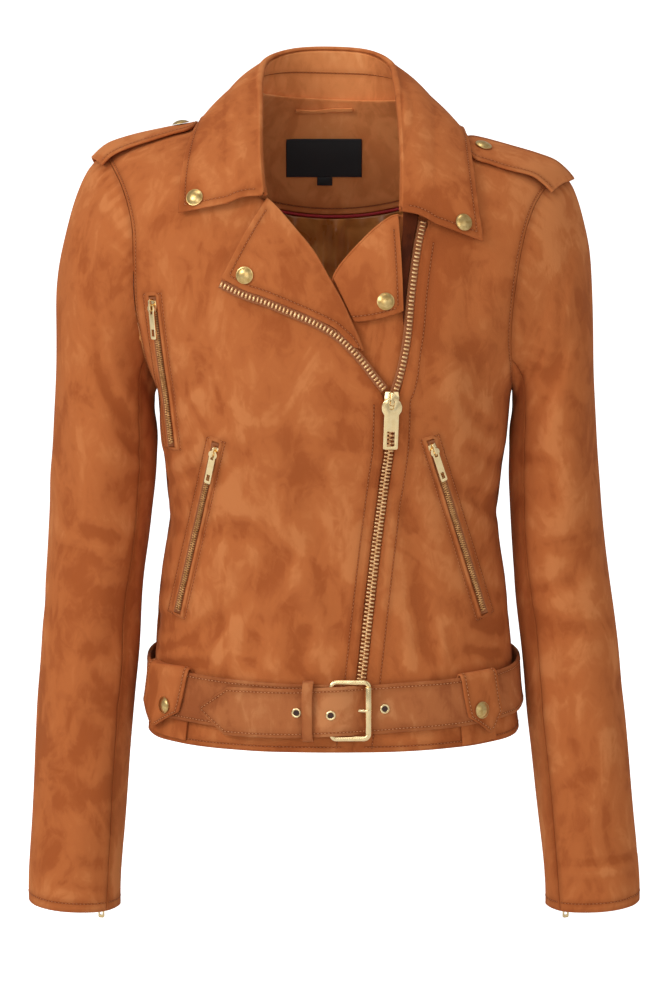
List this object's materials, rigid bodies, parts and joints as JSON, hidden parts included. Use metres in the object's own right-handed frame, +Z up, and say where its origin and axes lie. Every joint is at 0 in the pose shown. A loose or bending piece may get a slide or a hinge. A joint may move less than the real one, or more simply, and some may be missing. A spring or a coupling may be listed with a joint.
{
  "type": "suede biker jacket",
  "caption": "Short suede biker jacket with notched lapels, slanted front zip, zipped pockets and cuffs, shoulder straps and a buckled hem belt, filled out as worn.",
  "frame": {"origin": "on the middle plane, level with the neck ends of the shoulder seams, where the wearer's shoulders hold the jacket up", "axes": "+Z up, +X to the wearer's left, -Y to the front"},
  "size_m": [0.5178, 0.2455, 0.7372],
  "materials": {
    "suede": "matt napped suede, warm tan",
    "satin": "golden brown satin",
    "piping": "red woven piping",
    "label": "black woven satin",
    "gold": "polished pale gold"
  },
  "bodies": {
    "jacket": {"sleeve_under_right": "suede", "sleeve_top_right": "suede", "sleeve_under_left": "suede", "sleeve_top_left": "suede", "front_right": "suede", "front_left": "suede", "back": "suede", "collar_stand": "suede", "collar_leaf": "suede", "lapel_right": "suede", "lapel_left": "suede", "underlap": "suede", "epaulette_right": "suede", "epaulette_left": "suede", "belt": "suede", "belt_tab_right": "suede", "belt_tab_left": "suede", "belt_loop_back": "suede", "snap_collar_right": "gold", "snap_collar_left": "gold", "snap_lapel_right": "gold", "snap_lapel_left": "gold", "snap_tab_right": "gold", "snap_tab_left": "gold", "snap_epaulette_right": "gold", "snap_epaulette_left": "gold", "main_zip_closed": "gold", "main_zip_strand_left": "gold", "main_zip_strand_right": "gold", "main_zip_slider": "gold", "hip_zip_right_chain": "gold", "hip_zip_right_slider": "gold", "hip_zip_left_chain": "gold", "hip_zip_left_slider": "gold", "chest_zip_chain": "gold", "chest_zip_slider": "gold", "cuff_zip_right_chain": "gold", "cuff_zip_right_slider": "gold", "cuff_zip_left_chain": "gold", "cuff_zip_left_slider": "gold", "buckle_frame": "gold", "buckle_prong": "gold", "belt_keeper": "suede", "eyelet_outer": "gold", "eyelet_middle": "gold", "eyelet_inner": "gold", "facing_back": "suede", "piping": "piping", "lining_back": "satin", "label": "label", "size_tab": "label", "hanger_loop": "suede"},
    "main_zip_pull_tab": {"main_zip_pull": "gold"},
    "hip_zip_right_pull_tab": {"hip_zip_right_pull": "gold"},
    "hip_zip_left_pull_tab": {"hip_zip_left_pull": "gold"},
    "chest_zip_pull_tab": {"chest_zip_pull": "gold"},
    "cuff_zip_right_pull_tab": {"cuff_zip_right_pull": "gold"},
    "cuff_zip_left_pull_tab": {"cuff_zip_left_pull": "gold"}
  },
  "joints": [
    {"name": "main_zip_pull_hinge", "type": "hinge", "parent": "jacket", "child": "main_zip_pull_tab", "pos_m": [0.04659, -0.12932, -0.236], "axis": [-0.9927, -0.1187, 0.0199], "range_deg": [0, 150]},
    {"name": "hip_zip_right_pull_hinge", "type": "hinge", "parent": "jacket", "child": "hip_zip_right_pull_tab", "pos_m": [-0.09656, -0.10338, -0.28131], "axis": [-0.8813, 0.3364, 0.3319], "range_deg": [0, 150]},
    {"name": "hip_zip_left_pull_hinge", "type": "hinge", "parent": "jacket", "child": "hip_zip_left_pull_tab", "pos_m": [0.08052, -0.11263, -0.27788], "axis": [-0.878, -0.2816, -0.3871], "range_deg": [0, 150]},
    {"name": "chest_zip_pull_hinge", "type": "hinge", "parent": "jacket", "child": "chest_zip_pull_tab", "pos_m": [-0.1468, -0.08701, -0.16444], "axis": [-0.7621, 0.6474, -0.011], "range_deg": [0, 150]},
    {"name": "cuff_zip_right_pull_hinge", "type": "hinge", "parent": "jacket", "child": "cuff_zip_right_pull_tab", "pos_m": [-0.19956, 0.00699, -0.6707], "axis": [0.8992, -0.4365, 0.0295], "range_deg": [0, 150]},
    {"name": "cuff_zip_left_pull_hinge", "type": "hinge", "parent": "jacket", "child": "cuff_zip_left_pull_tab", "pos_m": [0.19934, 0.00698, -0.67069], "axis": [0.8993, 0.4369, -0.0193], "range_deg": [0, 150]}
  ]
}
